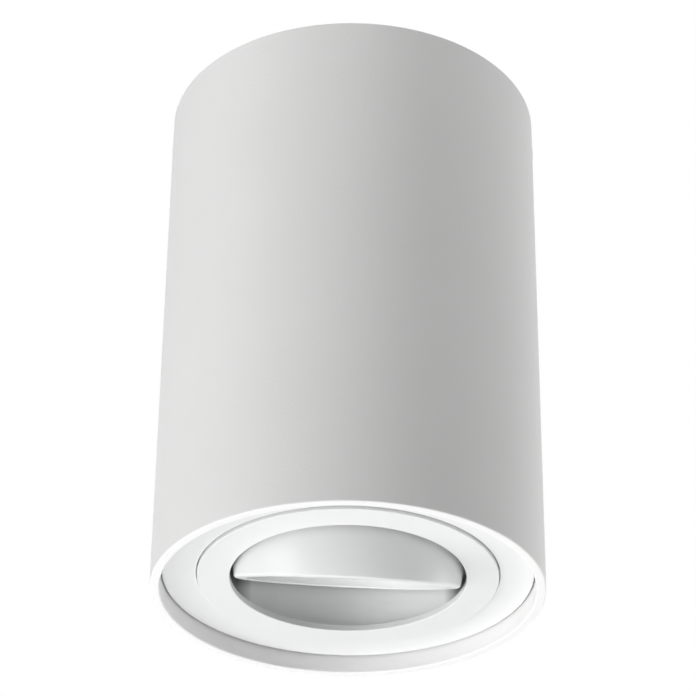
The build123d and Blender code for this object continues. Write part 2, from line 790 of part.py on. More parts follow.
with BuildPart() as lamp_pins:
    with BuildSketch(cup_frame.offset(lamp_end)):
        with GridLocations(lamp_pin_pitch, 0, 2, 1):
            Circle(1.5)
    extrude(amount=pin_l)
    with BuildSketch(cup_frame.offset(lamp_end + pin_l - pin_head_l)):
        with GridLocations(lamp_pin_pitch, 0, 2, 1):
            Circle(2.5)
    extrude(amount=pin_head_l)
lamp_pins.part.label = "lamp_pins"
export_step(lamp_pins.part, "parts/lamp_pins.step")

# ---- lampholder ---------------------------------------------------------------------------
holder_foot = lamp_end + 0.5
holder_top = holder_foot + holder_h
socket_hole_r = 3.15
socket_hole_h = pin_l + 1.5
holder_lead_x = 1.6
holder_screw_x = holder_l / 2 - 3.6
holder_screw_r = 1.45

with BuildPart() as lampholder:
    with BuildSketch(cup_frame.offset(holder_foot)):
        RectangleRounded(holder_l, holder_w, 4.0)
    extrude(amount=holder_h)
    fillet(lampholder.faces().sort_by(lamp_axis)[-1].edges(), radius=0.8)
    with BuildSketch(cup_frame.offset(holder_foot)):
        with GridLocations(lamp_pin_pitch, 0, 2, 1):
            Circle(socket_hole_r)
    extrude(amount=socket_hole_h, mode=Mode.SUBTRACT)
    with BuildSketch(cup_frame.offset(holder_top)):
        with GridLocations(holder_lead_x * 2, 0, 2, 1):
            Circle(lead_r + play)
    extrude(amount=-3.0, mode=Mode.SUBTRACT)
    with BuildSketch(cup_frame.offset(holder_top)):
        with GridLocations(holder_screw_x * 2, 0, 2, 1):
            Circle(holder_screw_r + thread_play)
    extrude(amount=-6.0, mode=Mode.SUBTRACT)
lampholder.part.label = "lampholder"
export_step(lampholder.part, "parts/lampholder.step")

with BuildPart() as holder_contacts:
    with BuildSketch(cup_frame.offset(holder_foot + 1.0)):
        with GridLocations(lamp_pin_pitch, 0, 2, 1):
            Circle(socket_hole_r - play)
            Circle(2.6, mode=Mode.SUBTRACT)
            with Locations((0, socket_hole_r)):
                Rectangle(2.0, socket_hole_r * 2, mode=Mode.SUBTRACT)
    extrude(amount=socket_hole_h - 1.5)
holder_contacts.part.label = "holder_contacts"
export_step(holder_contacts.part, "parts/holder_contacts.step")

with BuildPart() as holder_strap:
    with BuildSketch(upright(cup_frame)):
        with BuildLine():
            FilletPolyline(
                (-lug_outer_r, cup_back + 0.4),
                (-lug_outer_r, holder_top),
                (lug_outer_r, holder_top),
                (lug_outer_r, cup_back + 0.4),
                radius=2.0,
            )
            offset(amount=strap_t, side=Side.LEFT)
        make_face()
    extrude(amount=strap_w / 2, both=True)
    with BuildSketch(cup_frame.offset(holder_top)):
        SlotOverall(holder_lead_x * 2 + 3.4, 3.4)
        with GridLocations(holder_screw_x * 2, 0, 2, 1):
            Circle(holder_screw_r + screw_play)
    extrude(amount=strap_t, mode=Mode.SUBTRACT)
    for side in (0, 180):
        with Locations(radial(cup_frame, lug_outer_r + strap_t, lug_screw_height, side)):
            Hole(strap_screw_r + screw_play, depth=strap_t)
holder_strap.part.label = "holder_strap"
export_step(holder_strap.part, "parts/holder_strap.step")

strap_pan = pan_screw(2.6, 1.7, strap_screw_r, strap_t + lug_t - end_gap)
with BuildPart() as strap_screws:
    for side in (0, 180):
        with Locations(radial(cup_frame, lug_outer_r + strap_t, lug_screw_height, side)):
            add(strap_pan)
strap_screws.part.label = "strap_screws"
export_step(strap_screws.part, "parts/strap_screws.step")

holder_pan = pan_screw(2.6, 1.7, holder_screw_r, strap_t + 5.6)
with BuildPart() as holder_screws:
    with Locations(cup_frame.offset(holder_top + strap_t)):
        with GridLocations(holder_screw_x * 2, 0, 2, 1):
            add(holder_pan)
holder_screws.part.label = "holder_screws"
export_step(holder_screws.part, "parts/holder_screws.step")

# ---- leads to the lamp --------------------------------------------------------------------
# The sleeve holds both leads on the turning axis, so a turn only twists what is above it.
sleeve_top = -37.0
sleeve_l = 10.0
sleeve_middle = sleeve_top - sleeve_l / 2
sleeve_lead_x = lead_r + play
sleeve_bore_r = sleeve_lead_x + lead_r + play

with BuildPart() as lead_sleeve:
    with BuildSketch(Plane.XY.offset(sleeve_top)):
        Circle(sleeve_bore_r + 0.8)
        Circle(sleeve_bore_r, mode=Mode.SUBTRACT)
    extrude(amount=-sleeve_l)
lead_sleeve.part.label = "lead_sleeve"
export_step(lead_sleeve.part, "parts/lead_sleeve.step")


def on_axis(side, z):
    """Centre of one of the two leads where they run along the turning axis."""
    return ring_frame.from_local_coords(Vector(side * sleeve_lead_x, 0, z - ring_z))


def upper_route(side):
    front = block_y - block_l / 2
    return [
        Vector(side * pole_pitch, wire_end_y - block_l / 2, tunnel_z),
        Vector(side * pole_pitch, front - 13.0, tunnel_z - 1.5),
        Vector(side * pole_pitch * 0.6, front - 13.0, tunnel_z - 17.0),
        on_axis(side, sleeve_top + 6.0),
        on_axis(side, sleeve_middle),
    ]


def lower_route(side):
    along = cup_frame.from_local_coords
    return [
        on_axis(side, sleeve_middle),
        on_axis(side, sleeve_top - sleeve_l - 4.5),
        along(Vector(side * holder_lead_x, 0, holder_top + 12.0)),
        along(Vector(side * holder_lead_x, 0, holder_top - 2.5)),
    ]


upper_wires = [lead(upper_route(side), arc_radii(upper_route(side))) for side in (-1, 1)]
lower_wires = [lead(lower_route(side), arc_radii(lower_route(side))) for side in (-1, 1)]
for route in (upper_route(1), lower_route(1), earth_route):
    print("radii of a lead's bends:", arc_radii(route))

with BuildPart() as upper_leads:
    add(upper_wires)
upper_leads.part.label = "upper_leads"
export_step(upper_leads.part, "parts/upper_leads.step")

with BuildPart() as lower_leads:
    add(lower_wires)
lower_leads.part.label = "lower_leads"
export_step(lower_leads.part, "parts/lower_leads.step")
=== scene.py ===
"""Looks of a surface mounted ceiling spotlight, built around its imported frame. Metres, +Z up."""
import json
import math

import bmesh
import bpy
from mathutils import Matrix, Vector
from mathutils.geometry import delaunay_2d_cdt


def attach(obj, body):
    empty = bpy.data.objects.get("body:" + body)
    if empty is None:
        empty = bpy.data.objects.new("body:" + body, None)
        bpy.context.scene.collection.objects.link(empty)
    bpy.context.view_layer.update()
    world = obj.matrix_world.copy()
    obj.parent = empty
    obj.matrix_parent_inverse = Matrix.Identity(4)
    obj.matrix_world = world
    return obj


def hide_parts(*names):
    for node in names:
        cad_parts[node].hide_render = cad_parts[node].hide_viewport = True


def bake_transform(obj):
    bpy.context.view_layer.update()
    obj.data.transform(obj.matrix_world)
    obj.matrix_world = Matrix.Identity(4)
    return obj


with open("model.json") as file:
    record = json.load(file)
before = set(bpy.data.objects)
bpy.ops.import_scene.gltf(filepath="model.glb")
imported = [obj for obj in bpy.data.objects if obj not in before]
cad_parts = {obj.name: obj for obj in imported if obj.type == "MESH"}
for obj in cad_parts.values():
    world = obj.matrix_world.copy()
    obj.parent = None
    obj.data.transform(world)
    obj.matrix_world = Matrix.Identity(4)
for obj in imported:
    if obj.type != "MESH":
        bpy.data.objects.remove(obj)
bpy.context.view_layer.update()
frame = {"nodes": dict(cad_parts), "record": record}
nodes = frame["nodes"]
MM = 0.001


# ---- materials ----------------------------------------------------------------------------
class Paint:
    """A node material with a Principled surface, and short calls for the nodes that feed it."""

    def __init__(self, name):
        self.material = bpy.data.materials.new(name)
        self.material.use_nodes = True
        self.tree = self.material.node_tree
        self.shader = self.tree.nodes["Principled BSDF"]
        inner = self.tree.nodes.new("ShaderNodeTexCoord").outputs
        self.place, self.normal = inner["Object"], inner["Normal"]

    def set(self, **values):
        for key, value in values.items():
            self.shader.inputs[key.replace("_", " ")].default_value = value
        return self

    def link(self, source, socket):
        self.tree.links.new(source, self.shader.inputs[socket])
        return self

    def colour(self, factor, first, second):
        return self.link(self.mix(factor, first, second), "Base Color")

    def node(self, kind, values=(), links=(), **settings):
        made = self.tree.nodes.new(kind)
        for key, value in settings.items():
            setattr(made, key, value)
        for key, value in dict(values).items():
            made.inputs[key].default_value = value
        for key, source in dict(links).items():
            self.tree.links.new(source, made.inputs[key])
        return made

    def stretch(self, x, y, z, turn=0.0):
        """Object coordinates scaled by axis, after a turn about Z."""
        values = {"Scale": (x, y, z), "Rotation": (0.0, 0.0, turn)}
        return self.node("ShaderNodeMapping", values, {"Vector": self.place}).outputs["Vector"]

    def painted_pocket_shade(self):
        """Mask of painted shade: 1 on walls that face inwards beside the pivots, deep in the ring's socket,
        and 0 elsewhere.
        """
        apart = [self.node("ShaderNodeSeparateXYZ", links={"Vector": source}).outputs
                 for source in (self.place, self.normal)]
        side = self.spread(self.maths("ABSOLUTE", apart[0]["X"], 0.0), 0.0, 1.0, 0.0245, 0.0280)
        deep = self.spread(apart[0]["Z"], 0.0, 1.0, -0.1350, -0.1342)
        inward = self.maths("LESS_THAN", self.maths("MULTIPLY", apart[0]["X"], apart[1]["X"]), 0.0)
        return self.maths("MULTIPLY", self.maths("MULTIPLY", side, deep), inward)

    def attribute(self, name):
        return self.node("ShaderNodeAttribute", attribute_name=name).outputs["Fac"]

    def grey(self, colour):
        return self.node("ShaderNodeRGBToBW", links={"Color": colour}).outputs["Val"]

    def noise(self, scale, detail=3.0, roughness=0.5, place=None):
        sizes = {"Scale": scale, "Detail": detail, "Roughness": roughness}
        return self.node("ShaderNodeTexNoise", sizes, {"Vector": place or self.place}).outputs["Fac"]

    def cells(self, scale):
        return self.node("ShaderNodeTexVoronoi", {"Scale": scale}, {"Vector": self.place}, feature="F1")

    def ramp(self, source, *stops):
        made = self.node("ShaderNodeValToRGB", links={"Fac": source})
        band = made.color_ramp.elements
        while len(band) < len(stops):
            band.new(0.5)
        for element, (at, colour) in zip(band, stops):
            element.position = at
            element.color = colour if len(colour) == 4 else (*colour, 1.0)
        return made.outputs["Color"]

    def spread(self, source, low, high, start=0.0, end=1.0):
        values = {"From Min": start, "From Max": end, "To Min": low, "To Max": high}
        return self.node("ShaderNodeMapRange", values, {"Value": source}).outputs["Result"]

    def maths(self, operation, first, second):
        made = self.node("ShaderNodeMath", operation=operation)
        for slot, source in enumerate((first, second)):
            if isinstance(source, (int, float)):
                made.inputs[slot].default_value = source
            else:
                self.tree.links.new(source, made.inputs[slot])
        return made.outputs["Value"]

    def mix(self, factor, first, second):
        made = self.node("ShaderNodeMix", data_type="RGBA")
        for socket, source in (("Factor", factor), ("A", first), ("B", second)):
            slots = [s for s in made.inputs if s.name == socket and s.enabled]
            if isinstance(source, (int, float)):
                slots[0].default_value = source
            elif isinstance(source, tuple):
                slots[0].default_value = source if len(source) == 4 else (*source, 1.0)
            else:
                self.tree.links.new(source, slots[0])
        return [s for s in made.outputs if s.enabled][0]

    def bump(self, source, distance, strength=1.0):
        made = self.node("ShaderNodeBump", {"Distance": distance, "Strength": strength}, {"Height": source})
        self.tree.links.new(made.outputs["Normal"], self.shader.inputs["Normal"])


def powder_coat():
    """Matt white powder coat with a fine, sandy texture."""
    paint = Paint("tube_coat")
    cloud = paint.noise(18.0, 2.0)
    fine = paint.noise(1500.0, 3.0, 0.62)
    paint.colour(paint.spread(cloud, 0.0, 1.0, 0.35, 0.65), (0.87, 0.87, 0.865), (0.89, 0.89, 0.885))
    paint.link(paint.spread(fine, 0.50, 0.66), "Roughness")
    paint.bump(fine, 0.00012, 0.5)
    return paint.set(IOR=1.48).material


def satin_paint():
    """Smooth satin white paint of the face parts, with dark painted shade deep in the socket beside the
    pivots.
    """
    paint = Paint("face_coat")
    cloud = paint.noise(25.0, 2.0)
    peel = paint.noise(420.0, 2.0)
    white = paint.mix(paint.spread(cloud, 0.0, 1.0, 0.35, 0.65), FACE_DARK, FACE_LIGHT)
    # Painted shade: a dark colour on the white socket walls beside the pivots, where shade falls in the gap
    # round the eyeball.
    paint.colour(paint.painted_pocket_shade(), white, POCKET_SHADE_COLOUR)
    paint.link(paint.spread(cloud, 0.34, 0.42, 0.3, 0.7), "Roughness")
    paint.bump(peel, 0.00003, 0.35)
    return paint.set(IOR=1.48).material


def screw_paint():
    """White enamel on the screw heads, thin enough on the edges to show some steel."""
    paint = Paint("white_screws")
    chips = paint.noise(900.0, 4.0, 0.6)
    bare = paint.spread(chips, 0.0, 1.0, 0.66, 0.69)
    paint.colour(bare, (0.78, 0.78, 0.77), (0.46, 0.46, 0.45))
    paint.link(bare, "Metallic")
    paint.link(paint.spread(chips, 0.32, 0.48), "Roughness")
    paint.bump(chips, 0.00004, 0.4)
    return paint.set(IOR=1.5).material


def zinc_sheet():
    """Blue passivated zinc on pressed sheet: faint crystal patches, rolling lines and a few scratches."""
    paint = Paint("zinc_steel")
    flakes = paint.cells(260.0).outputs["Color"]
    tone = paint.grey(flakes)
    haze = paint.noise(60.0, 3.0)
    rolled = paint.noise(90.0, 4.0, 0.6, paint.stretch(1.0, 45.0, 1.0))
    scored = paint.noise(55.0, 2.0, 0.5, paint.stretch(40.0, 1.0, 1.0, 0.6))
    scratch = paint.spread(scored, 0.0, 1.0, 0.70, 0.73)
    base = paint.mix(paint.spread(tone, 0.0, 1.0, 0.2, 0.8), (0.52, 0.54, 0.57), (0.62, 0.63, 0.64))
    tinted = paint.mix(paint.spread(haze, 0.0, 0.5, 0.45, 0.75), base, (0.60, 0.60, 0.54))
    paint.colour(scratch, tinted, (0.72, 0.72, 0.73))
    rough = paint.maths("ADD", paint.spread(tone, 0.26, 0.40), paint.spread(rolled, -0.05, 0.05))
    paint.link(rough, "Roughness")
    paint.bump(paint.maths("ADD", paint.maths("MULTIPLY", rolled, 0.6), scratch), 0.00002, 0.4)
    return paint.set(Metallic=1.0).material


def machined(name, light, dark, roughness, lines=(1.0, 1.0, 30.0), tarnish=0.35):
    """Metal with fine tool or drawing lines and a little uneven tarnish."""
    paint = Paint(name)
    turned = paint.noise(420.0, 3.0, 0.55, paint.stretch(*lines))
    stain = paint.spread(paint.noise(130.0, 4.0, 0.6), 0.0, tarnish, 0.42, 0.72)
    paint.colour(paint.maths("ADD", stain, paint.spread(turned, 0.0, 0.25)), light, dark)
    paint.link(paint.maths("ADD", paint.spread(turned, roughness - 0.07, roughness + 0.07),
                           paint.maths("MULTIPLY", stain, 0.4)), "Roughness")
    paint.bump(turned, 0.000015, 0.5)
    return paint.set(Metallic=1.0).material


def blued_spring():
    """Hardened strip: dark grey with a straw and blue temper tint."""
    paint = Paint("spring_steel")
    heat = paint.noise(70.0, 2.0)
    drawn = paint.noise(300.0, 3.0, 0.6, paint.stretch(1.0, 1.0, 25.0))
    tint = paint.ramp(heat, (0.38, (0.42, 0.43, 0.45)), (0.55, (0.46, 0.44, 0.40)),
                      (0.68, (0.34, 0.36, 0.42)))
    paint.link(tint, "Base Color")
    paint.link(paint.spread(drawn, 0.24, 0.40), "Roughness")
    paint.bump(drawn, 0.00001, 0.5)
    return paint.set(Metallic=1.0).material


def soft_moulding(name, light, dark, roughness, grain, depth, coat=0.0, skin=0.0):
    """Moulded polymer, rubber or silicone: uneven tone, fine mould grain and a dusting of paler spots."""
    paint = Paint(name)
    cloud = paint.noise(90.0, 3.0)
    fine = paint.noise(grain, 3.0, 0.6)
    dust = paint.spread(paint.noise(700.0, 2.0), 0.0, 0.6, 0.68, 0.76)
    tone = paint.mix(paint.spread(cloud, 0.0, 1.0, 0.3, 0.7), dark, light)
    pale = tuple(min(1.0, 1.12 * c + 0.02) for c in light)
    paint.colour(dust, tone, pale)
    paint.link(paint.spread(fine, roughness - 0.08, roughness + 0.08), "Roughness")
    paint.bump(fine, depth, 0.6)
    return paint.set(IOR=1.46, Coat_Weight=coat, Subsurface_Weight=skin, Subsurface_Scale=0.0006).material


def striped_insulation():
    """Yellow insulation with green stripes along it."""
    paint = Paint("earth_insulation")
    around = paint.attribute("around")
    fine = paint.noise(1800.0, 3.0)
    ridge = paint.maths("SINE", paint.maths("MULTIPLY", around, 4.0 * math.pi), 0.0)
    edge = paint.maths("ADD", ridge, paint.spread(fine, -0.12, 0.12))
    paint.colour(paint.spread(edge, 0.0, 1.0, -0.06, 0.06), (0.62, 0.50, 0.03), (0.03, 0.20, 0.05))
    paint.link(paint.spread(fine, 0.34, 0.48), "Roughness")
    paint.bump(fine, 0.00001, 0.5)
    return paint.set(IOR=1.5).material


def braided_glass():
    """Glass fibre yarn, resin stiffened: fine filaments across each strand, with painted shade where the
    yarns dip.
    """
    paint = Paint("sleeve_braid")
    strand = paint.attribute("strand")
    yarn = paint.noise(2600.0, 3.0, 0.6)
    # Painted shade: the yarn is darker where it dips under and between the other yarns, and lighter on its
    # crowns.
    paint.colour(paint.spread(paint.maths("ADD", strand, paint.spread(yarn, -0.3, 0.3)), 0.0, 1.0),
                 (0.50, 0.47, 0.40), (0.84, 0.82, 0.75))
    paint.link(paint.spread(yarn, 0.42, 0.62), "Roughness")
    paint.bump(yarn, 0.00003, 0.6)
    return paint.set(Sheen_Weight=0.3, Sheen_Roughness=0.4).material


def coated_shell():
    """Vapour coated aluminium of the reflector, with a faint warm haze and pin marks."""
    paint = Paint("lamp_shell")
    haze = paint.noise(80.0, 3.0)
    pins = paint.spread(paint.cells(520.0).outputs["Distance"], 1.0, 0.0, 0.05, 0.12)
    tone = paint.mix(paint.spread(haze, 0.0, 1.0, 0.35, 0.7), (0.78, 0.78, 0.79), (0.70, 0.69, 0.66))
    paint.colour(paint.maths("MULTIPLY", pins, 0.4), tone, (0.40, 0.40, 0.40))
    paint.link(paint.spread(haze, 0.10, 0.20), "Roughness")
    paint.bump(pins, 0.00001, 0.3)
    return paint.set(Metallic=1.0).material


def lamp_glass():
    """Pressed glass, clear with a slight cast and a few seeds."""
    paint = Paint("lamp_glass")
    wave = paint.noise(140.0, 2.0)
    seeds = paint.spread(paint.cells(480.0).outputs["Distance"], 1.0, 0.0, 0.04, 0.09)
    paint.colour(seeds, (0.955, 0.97, 0.965), (0.90, 0.92, 0.92))
    paint.link(paint.spread(wave, 0.02, 0.07), "Roughness")
    paint.bump(wave, 0.00004, 0.4)
    return paint.set(IOR=1.47, Transmission_Weight=0.96).material


def glazed_ceramic():
    """Cream steatite under a thin clear glaze, with iron specks and a gentle ripple."""
    paint = Paint("ceramic")
    body = paint.noise(110.0, 4.0, 0.6)
    specks = paint.spread(paint.cells(620.0).outputs["Distance"], 1.0, 0.0, 0.06, 0.13)
    tone = paint.mix(body, (0.74, 0.71, 0.64), (0.83, 0.81, 0.75))
    paint.colour(paint.maths("MULTIPLY", specks, 0.7), tone, (0.30, 0.22, 0.15))
    paint.link(paint.spread(body, 0.22, 0.34), "Roughness")
    paint.bump(paint.noise(220.0, 2.0), 0.00004, 0.5)
    return paint.set(IOR=1.55, Coat_Weight=0.5, Coat_Roughness=0.06).material


FACE_DARK, FACE_LIGHT = (0.775, 0.78, 0.78), (0.795, 0.80, 0.80)
# Colour of the painted shade deep in the socket beside the pivots.
POCKET_SHADE_COLOUR = (0.13, 0.13, 0.135)

MATERIALS = {
    "tube_coat": powder_coat(),
    "face_coat": satin_paint(),
    "white_screws": screw_paint(),
    "zinc_steel": zinc_sheet(),
    "screw_steel": machined("screw_steel", (0.66, 0.67, 0.70), (0.44, 0.45, 0.46), 0.28),
    "spring_steel": blued_spring(),
    "brass": machined("brass", (0.78, 0.58, 0.28), (0.50, 0.34, 0.15), 0.26),
    "tinned_brass": machined("tinned_brass", (0.70, 0.69, 0.66), (0.52, 0.49, 0.44), 0.34),
    "grommet_rubber": soft_moulding("grommet_rubber", (0.024, 0.024, 0.025), (0.014, 0.014, 0.014),
                                    0.62, 900.0, 0.00004),
    "block_plastic": soft_moulding("block_plastic", (0.80, 0.78, 0.70), (0.72, 0.69, 0.60),
                                   0.40, 1100.0, 0.00003, skin=0.25),
    "nylon": soft_moulding("nylon", (0.040, 0.040, 0.042), (0.026, 0.026, 0.027), 0.40, 1300.0, 0.00002),
    "lead_silicone": soft_moulding("lead_silicone", (0.72, 0.71, 0.68), (0.64, 0.62, 0.58),
                                   0.46, 1600.0, 0.00002, skin=0.2),
    "earth_insulation": striped_insulation(),
    "sleeve_braid": braided_glass(),
    "lamp_shell": coated_shell(),
    "lamp_glass": lamp_glass(),
    "lamp_base_plastic": soft_moulding("lamp_base_plastic", (0.82, 0.81, 0.77), (0.75, 0.73, 0.68),
                                       0.36, 800.0, 0.00003),
    "pin_metal": machined("pin_metal", (0.72, 0.70, 0.66), (0.50, 0.48, 0.44), 0.24),
    "ceramic": glazed_ceramic(),
}

NODE_SLOTS = {row["node"]: row["material_slot"] for row in frame["record"]["subparts"]}
for name, node in nodes.items():
    node.data.materials.clear()
    node.data.materials.append(MATERIALS[NODE_SLOTS[name]])
    node.data.polygons.foreach_set("use_smooth", [True] * len(node.data.polygons))
    node.data.set_sharp_from_angle(angle=math.radians(28))

# ---- mesh building ------------------------------------------------------------------------
class Piece:
    """Closed shells of one piece, gathered in millimetres and made into an object in metres."""

    def __init__(self):
        self.points = []
        self.faces = []
        self.values = {}

    def add(self, shell, place=None, **values):
        points, faces = shell
        start = len(self.points)
        self.points += [place @ Vector(p) if place else Vector(p) for p in points]
        self.faces += [[start + i for i in face] for face in faces]
        for name, numbers in values.items():
            self.values.setdefault(name, {}).update(zip(range(start, len(self.points)), numbers))
        return self

    def finish(self, name, slot, body=None, replaces=(), sharp=30):
        mesh = outward_mesh(name, [MM * p for p in self.points], self.faces)
        for key, numbers in self.values.items():
            layer = mesh.attributes.new(key, "FLOAT", "POINT")
            layer.data.foreach_set("value", [numbers.get(i, 0.0) for i in range(len(mesh.vertices))])
        return present(bpy.data.objects.new(name, mesh), slot, body, replaces, sharp)


def outward_mesh(name, points, faces):
    """Mesh whose faces all point outwards."""
    mesh = bpy.data.meshes.new(name)
    mesh.from_pydata(points, [], faces)
    work = bmesh.new()
    work.from_mesh(mesh)
    bmesh.ops.recalc_face_normals(work, faces=work.faces)
    work.to_mesh(mesh)
    work.free()
    return mesh


def present(thing, slot, body=None, replaces=(), sharp=30):
    """Links an object, gives it its finish and ties it to its body and the nodes that it stands for."""
    mesh = thing.data
    bpy.context.scene.collection.objects.link(thing)
    mesh.materials.clear()
    mesh.materials.append(MATERIALS[slot])
    mesh.polygons.foreach_set("use_smooth", [True] * len(mesh.polygons))
    mesh.set_sharp_from_angle(angle=math.radians(sharp))
    if body:
        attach(thing, body)
    if replaces:
        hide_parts(*replaces)
    return thing


def revolve(profile, segments=64, closed=False):
    """Shell made by turning a profile of (radius, height) about Z. A closed profile makes a ring."""
    points, rings, faces = [], [], []
    for radius, height in profile:
        count = segments if radius > 1e-6 else 1
        rings.append(range(len(points), len(points) + count))
        for step in range(count):
            angle = 2 * math.pi * step / segments
            points.append((radius * math.cos(angle), radius * math.sin(angle), height))
    pairs = list(zip(rings, rings[1:]))
    if closed:
        pairs.append((rings[-1], rings[0]))
    for low, high in pairs:
        for step in range(segments):
            after = (step + 1) % segments
            face = [low[step % len(low)], low[after % len(low)],
                    high[after % len(high)], high[step % len(high)]]
            face = list(dict.fromkeys(face))
            if len(face) > 2:
                faces.append(face)
    return points, faces


def arc(centre, radius, start, end, steps=6):
    """Points (radius, height) along an arc, between two angles in degrees."""
    angles = [math.radians(start + (end - start) * step / steps) for step in range(steps + 1)]
    return [(centre[0] + radius * math.cos(a), centre[1] + radius * math.sin(a)) for a in angles]


def prism(lower, upper, low, high):
    """Shell between two outlines with the same number of corners, at two heights."""
    count = len(lower)
    points = [(x, y, low) for x, y in lower] + [(x, y, high) for x, y in upper]
    faces = [list(range(count))[::-1], list(range(count, 2 * count))]
    faces += [[i, (i + 1) % count, count + (i + 1) % count, count + i] for i in range(count)]
    return points, faces


def polygon(radius, corners):
    turn = 2 * math.pi / corners
    return [(radius * math.cos(turn * i), radius * math.sin(turn * i)) for i in range(corners)]


def cross(reach, half):
    """Outline of a cross with arms of a length and half width."""
    corner = [(half, half), (half, reach), (-half, reach)]
    turned = []
    for _ in range(4):
        turned += corner
        corner = [(-y, x) for x, y in corner]
    return [p for i, p in enumerate(turned) if p not in turned[:i]]


def sweep(line, radius, segments=16, twist=0.0, offset=0.0, start_angle=0.0):
    """Round shell along a line of points, on the line or wound round it. Also gives each point's place
    around the shell, from 0 to 1."""
    line = [Vector(p) for p in line]
    points, faces, around = [], [], []
    side = (line[1] - line[0]).orthogonal().normalized()
    travelled = 0.0
    for index, place in enumerate(line):
        before, after = line[max(index - 1, 0)], line[min(index + 1, len(line) - 1)]
        ahead = (after - before).normalized()
        side = (side - ahead * side.dot(ahead)).normalized()
        across = ahead.cross(side)
        travelled += (place - before).length
        wound = start_angle + twist * travelled
        middle = place + offset * (math.cos(wound) * side + math.sin(wound) * across)
        for step in range(segments):
            angle = 2 * math.pi * step / segments
            points.append(middle + radius * (math.cos(angle) * side + math.sin(angle) * across))
            around.append(abs(1.0 - 2.0 * step / segments))
    for index in range(len(line) - 1):
        for step in range(segments):
            after = (step + 1) % segments
            row = index * segments
            faces.append([row + step, row + after, row + segments + after, row + segments + step])
    last = (len(line) - 1) * segments
    faces.append(list(range(segments))[::-1])
    faces.append(list(range(last, last + segments)))
    return (points, faces), around


def smooth_line(corners, resolution=10):
    """Points on a smooth curve that a route's corners steer."""
    curve = bpy.data.curves.new("route", "CURVE")
    curve.dimensions = "3D"
    curve.resolution_u = resolution
    spline = curve.splines.new("NURBS")
    spline.points.add(len(corners) - 1)
    for point, corner in zip(spline.points, corners):
        point.co = (*corner, 1.0)
    spline.order_u = 3
    spline.use_endpoint_u = True
    holder = bpy.data.objects.new("route", curve)
    mesh = bpy.data.meshes.new_from_object(holder)
    line = [v.co.copy() for v in mesh.vertices]
    bpy.data.objects.remove(holder)
    bpy.data.curves.remove(curve)
    bpy.data.meshes.remove(mesh)
    return line


def facing(origin, outward, sideways=(0, 0, 1)):
    """Placement with Z outwards from a point."""
    z = Vector(outward).normalized()
    x = Vector(sideways)
    x = (x - z * x.dot(z)).normalized()
    y = z.cross(x)
    return Matrix((
        (x.x, y.x, z.x, origin[0]),
        (x.y, y.y, z.y, origin[1]),
        (x.z, y.z, z.z, origin[2]),
        (0, 0, 0, 1),
    ))


# The places of the ring and of the eyeball at rest, and sizes that pieces share, in millimetres.
TURN, TILT = math.radians(5.1), math.radians(24.0)
RING_Z = -136.1
PIVOT_HEIGHT = 6.5
RING_PLACE = Matrix.Translation((0, 0, RING_Z)) @ Matrix.Rotation(TURN, 4, "Z")
CUP_PLACE = RING_PLACE @ Matrix.Translation((0, 0, PIVOT_HEIGHT)) @ Matrix.Rotation(TILT, 4, "X")
HOUSING_R = 49.0
SIDE_SCREW_Z = -8.0
CLIP_CIRCLE_R = 40.6
CLIP_HEAD_Z = -129.75
POLE_PITCH = 9.5
BLOCK_Y = -4.0
EARTH_X, EARTH_Y = -30.0, -12.0


# ---- screws -------------------------------------------------------------------------------
def ridge(core, crest, low, high, pitch, steps=20):
    """Thread: a ridge of triangular section wound round a shank, tapered at both ends."""
    count = int(steps * (high - low) / pitch)
    points, faces = [], []
    for step in range(count + 1):
        angle = 2 * math.pi * step / steps
        height = low + pitch * step / steps
        ramp = min(1.0, 0.1 + 1.6 * step / steps, 0.1 + 1.6 * (count - step) / steps)
        top = core + (crest - core) * ramp
        for radius, lift in ((core - 0.08, -0.36), (top, -0.07), (top, 0.07), (core - 0.08, 0.36)):
            points.append((radius * math.cos(angle), radius * math.sin(angle), height + lift * pitch))
        if step:
            row = 4 * (step - 1)
            faces += [[row + i, row + (i + 1) % 4, row + 4 + (i + 1) % 4, row + 4 + i] for i in range(4)]
    faces += [[3, 2, 1, 0], [4 * count + i for i in range(4)]]
    return points, faces


def carved(profile, cutters, segments=48):
    """Solid of revolution with recesses cut into it. Millimetres."""
    objects = []
    for points, faces in (revolve(profile, segments), *cutters):
        blank = bpy.data.objects.new("blank", outward_mesh("blank", points, faces))
        bpy.context.scene.collection.objects.link(blank)
        objects.append(blank)
    blank = objects[0]
    for cutter in objects[1:]:
        cut = blank.modifiers.new("cut", "BOOLEAN")
        cut.operation = "DIFFERENCE"
        cut.solver = "EXACT"
        cut.object = cutter
    bpy.context.view_layer.update()
    seen = blank.evaluated_get(bpy.context.evaluated_depsgraph_get())
    mesh = seen.to_mesh()
    shell = [tuple(v.co) for v in mesh.vertices], [list(p.vertices) for p in mesh.polygons]
    seen.to_mesh_clear()
    for thing in objects:
        old = thing.data
        bpy.data.objects.remove(thing)
        bpy.data.meshes.remove(old)
    return shell


def cross_recess(reach, top, depth):
    """Tapered cross recess that starts above a head's face."""
    upper = cross(reach * 1.06, reach * 0.24)
    lower = cross(reach * 0.42, reach * 0.15)
    return prism(lower, upper, top - depth, top + 0.15)


def pan_head(head_r, head_h):
    """Profile of a domed head with a rounded edge, from the axis outwards and down to z=0."""
    dome = [(head_r * 0.9 * math.sin(a), head_h * (0.62 + 0.38 * math.cos(a))) for a in
            (math.pi / 2 * step / 6 for step in range(6))]
    return [(0.0, head_h), *dome[1:], (head_r * 0.97, head_h * 0.45), (head_r, head_h * 0.25),
            (head_r * 0.99, 0.06), (head_r * 0.95, 0.0)]


def shank(core, start, end, point=0.35):
    """Profile of a shank from the underside of its head down to its chamfered end."""
    return [(core, start), (core, end + point), (core - 0.6 * point, end), (0.0, end)]


